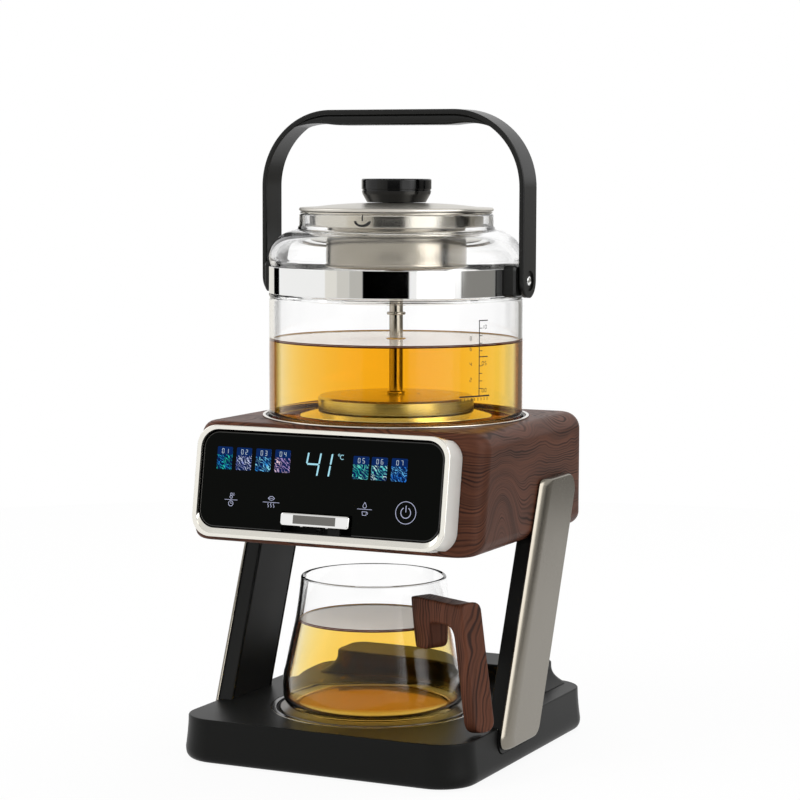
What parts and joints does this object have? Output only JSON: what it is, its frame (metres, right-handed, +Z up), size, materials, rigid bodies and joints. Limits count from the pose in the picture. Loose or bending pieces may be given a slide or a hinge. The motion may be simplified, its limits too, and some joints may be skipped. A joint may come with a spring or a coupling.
{
  "type": "automatic tea maker",
  "caption": "Glass pot with a bail handle and steam strainer on a walnut-look heated head with a touch display, carried by slanted legs over a glass cup on a square base.",
  "frame": {"origin": "middle of the base on the surface that the feet stand on", "axes": "+Z up, +X to the right and -Y to the front, where the display and the lever are"},
  "size_m": [0.1944, 0.2066, 0.3807],
  "materials": {
    "black_plastic": "satin moulded black plastic",
    "champagne": "satin champagne-coloured metal",
    "walnut": "dark walnut grain, satin lacquer",
    "steel": "satin stainless steel",
    "chrome": "mirror-polished steel",
    "clear_glass": "clear borosilicate glass",
    "display_black": "gloss black display window",
    "rubber": "soft black silicone",
    "board_green": "coated circuit board",
    "heater_aluminium": "cast aluminium"
  },
  "bodies": {
    "stand": {"base_shell": "black_plastic", "base_bottom_cover": "black_plastic", "foot_front_left": "rubber", "foot_front_right": "rubber", "foot_rear_left": "rubber", "foot_rear_right": "rubber", "base_screw_front_left": "steel", "base_screw_front_right": "steel", "base_screw_rear_left": "steel", "base_screw_rear_right": "steel", "cup_rest_ring": "steel", "cup_rest_gasket": "rubber", "cup_rest_plate": "champagne", "warming_heater": "heater_aluminium", "rear_hump": "black_plastic", "power_inlet": "black_plastic", "power_board": "board_green", "left_leg_post": "black_plastic", "right_leg_post": "black_plastic", "left_leg_cover": "champagne", "right_leg_cover": "champagne", "head_shell": "walnut", "head_bottom_cover": "black_plastic", "control_board": "board_green", "front_bezel": "champagne", "display_glass": "display_black", "display_board": "board_green", "lever_pin": "steel", "lever_spring": "steel", "lever_switch": "black_plastic", "pot_seat_ring": "chrome", "heater_plate": "heater_aluminium", "temperature_probe": "steel", "drain_valve_body": "black_plastic", "outlet_nozzle": "black_plastic", "drain_tube": "rubber"},
    "lever": {"lever_bar": "champagne"},
    "pot": {"glass_body": "clear_glass", "drain_valve_plug": "steel", "steel_band": "chrome", "pot_floor_plate": "steel", "left_lug": "black_plastic", "right_lug": "black_plastic", "left_pivot_pin": "steel", "right_pivot_pin": "steel"},
    "bail": {"bail_strap": "black_plastic", "bail_grip": "black_plastic"},
    "brewer": {"pump_dome": "steel", "riser_tube": "steel", "riser_lock_ring": "steel", "spray_cap": "steel", "strainer_basket": "steel", "strainer_collar": "steel"},
    "lid": {"lid_plate": "steel", "lid_gasket": "rubber", "lid_knob": "black_plastic"},
    "cup": {"cup_glass": "clear_glass", "cup_handle": "walnut"}
  },
  "joints": [
    {"name": "lever_press", "type": "hinge", "parent": "stand", "child": "lever", "pos_m": [0, -0.08584, 0.14436], "axis": [1, 0, 0], "range_deg": [0, 9], "stiffness_Nm_per_rad": 0.2, "springref_deg": -8.59, "deforming": ["lever_spring"]},
    {"name": "pot_lift", "type": "slide", "parent": "stand", "child": "pot", "axis": [0, 0, 1], "range_m": [0, 0.1]},
    {"name": "bail_swing", "type": "hinge", "parent": "pot", "child": "bail", "pos_m": [0, 0.01, 0.2805], "axis": [1, 0, 0], "range_deg": [-90, 90]},
    {"name": "brewer_lift", "type": "slide", "parent": "pot", "child": "brewer", "axis": [0, 0, 1], "range_m": [0, 0.013]},
    {"name": "lid_lift", "type": "slide", "parent": "brewer", "child": "lid", "axis": [0, 0, 1], "range_m": [0, 0.014]},
    {"name": "cup_slide", "type": "slide", "parent": "stand", "child": "cup", "axis": [0, -1, 0], "range_m": [0, 0.12]}
  ]
}
